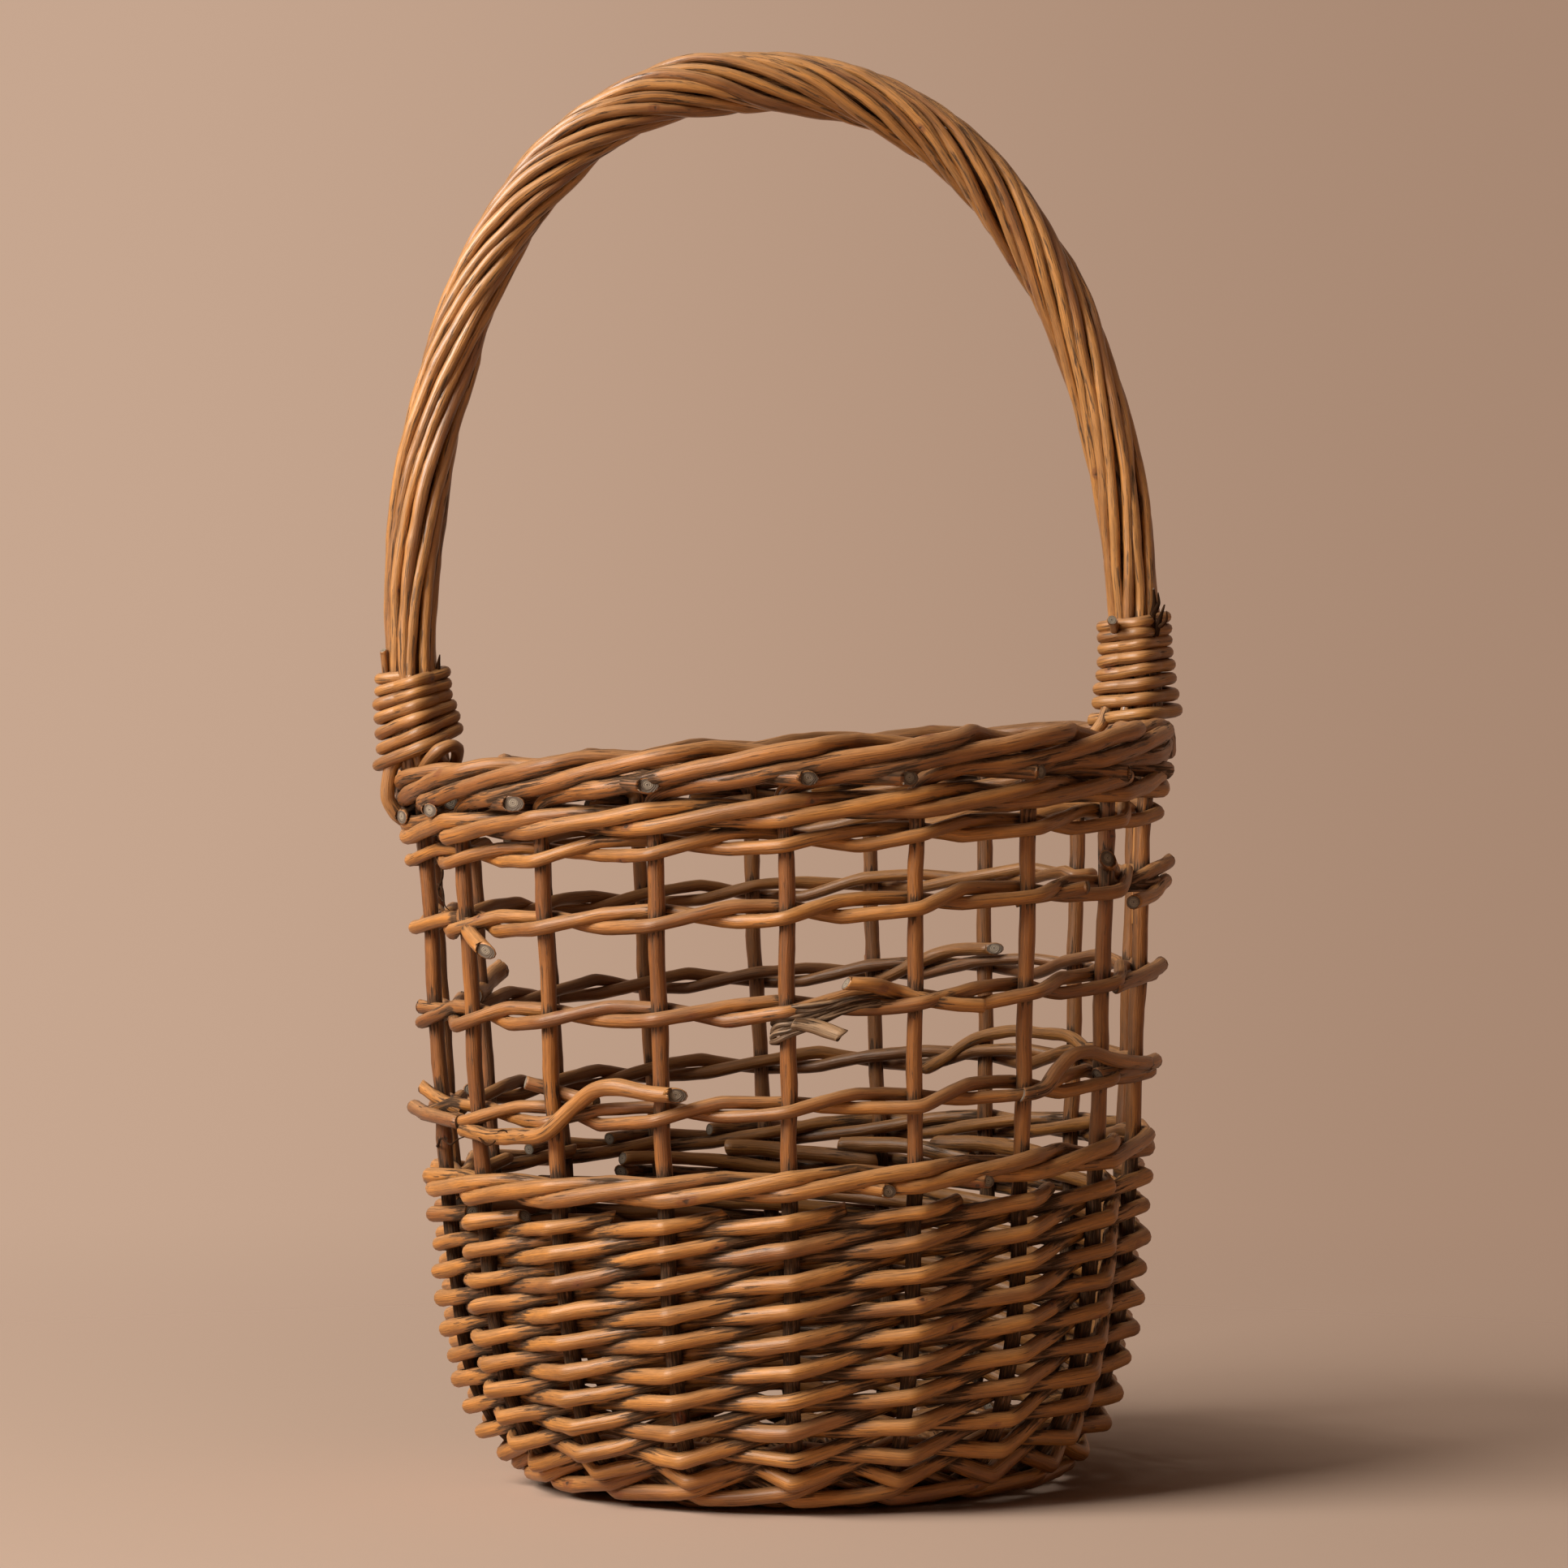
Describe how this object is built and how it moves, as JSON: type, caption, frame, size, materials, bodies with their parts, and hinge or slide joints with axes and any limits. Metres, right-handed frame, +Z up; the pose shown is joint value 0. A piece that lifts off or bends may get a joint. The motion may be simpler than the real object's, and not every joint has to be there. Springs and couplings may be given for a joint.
{
  "type": "willow basket",
  "caption": "Round willow basket with randed lower siding, fitched open-work above, a plain border and a tall roped arch handle.",
  "frame": {"origin": "middle of the foot, on the surface that the basket stands on", "axes": "+Z up; +X to the right of the front view, in line with the handle's feet; +Y to the back"},
  "size_m": [0.283, 0.2717, 0.4999],
  "materials": {
    "stake_willow": "satin",
    "weaver_willow": "satin",
    "base_willow": "matte",
    "handle_willow": "satin",
    "binding_willow": "satin"
  },
  "bodies": {
    "root": {"stake_01": "stake_willow", "stake_02": "stake_willow", "stake_03": "stake_willow", "stake_04": "stake_willow", "stake_05": "stake_willow", "stake_06": "stake_willow", "stake_07": "stake_willow", "stake_08": "stake_willow", "stake_09": "stake_willow", "stake_10": "stake_willow", "stake_11": "stake_willow", "stake_12": "stake_willow", "stake_13": "stake_willow", "stake_14": "stake_willow", "stake_15": "stake_willow", "stake_16": "stake_willow", "stake_17": "stake_willow", "stake_18": "stake_willow", "rand_rod_01": "weaver_willow", "rand_rod_02": "weaver_willow", "rand_rod_03": "weaver_willow", "rand_rod_04": "weaver_willow", "rand_rod_05": "weaver_willow", "rand_rod_06": "weaver_willow", "rand_rod_07": "weaver_willow", "rand_rod_08": "weaver_willow", "rand_rod_09": "weaver_willow", "rand_rod_10": "weaver_willow", "rand_rod_11": "weaver_willow", "rand_rod_12": "weaver_willow", "rand_rod_13": "weaver_willow", "rand_rod_14": "weaver_willow", "rand_rod_15": "weaver_willow", "rand_rod_16": "weaver_willow", "rand_rod_17": "weaver_willow", "rand_rod_18": "weaver_willow", "upsett_wale_1": "weaver_willow", "upsett_wale_2": "weaver_willow", "upsett_wale_3": "weaver_willow", "mid_wale_1": "weaver_willow", "mid_wale_2": "weaver_willow", "mid_wale_3": "weaver_willow", "top_wale_1": "weaver_willow", "top_wale_2": "weaver_willow", "top_wale_3": "weaver_willow", "fitch_low": "weaver_willow", "fitch_middle": "weaver_willow", "fitch_high": "weaver_willow", "fitch_top": "weaver_willow", "base_sticks": "base_willow", "base_weave_under": "base_willow", "base_weave_over": "base_willow", "handle_strands_1": "handle_willow", "handle_strands_2": "handle_willow", "handle_strands_3": "handle_willow", "handle_strands_4": "handle_willow", "handle_bow": "handle_willow", "handle_binding_left": "binding_willow", "handle_binding_right": "binding_willow"}
  },
  "joints": []
}
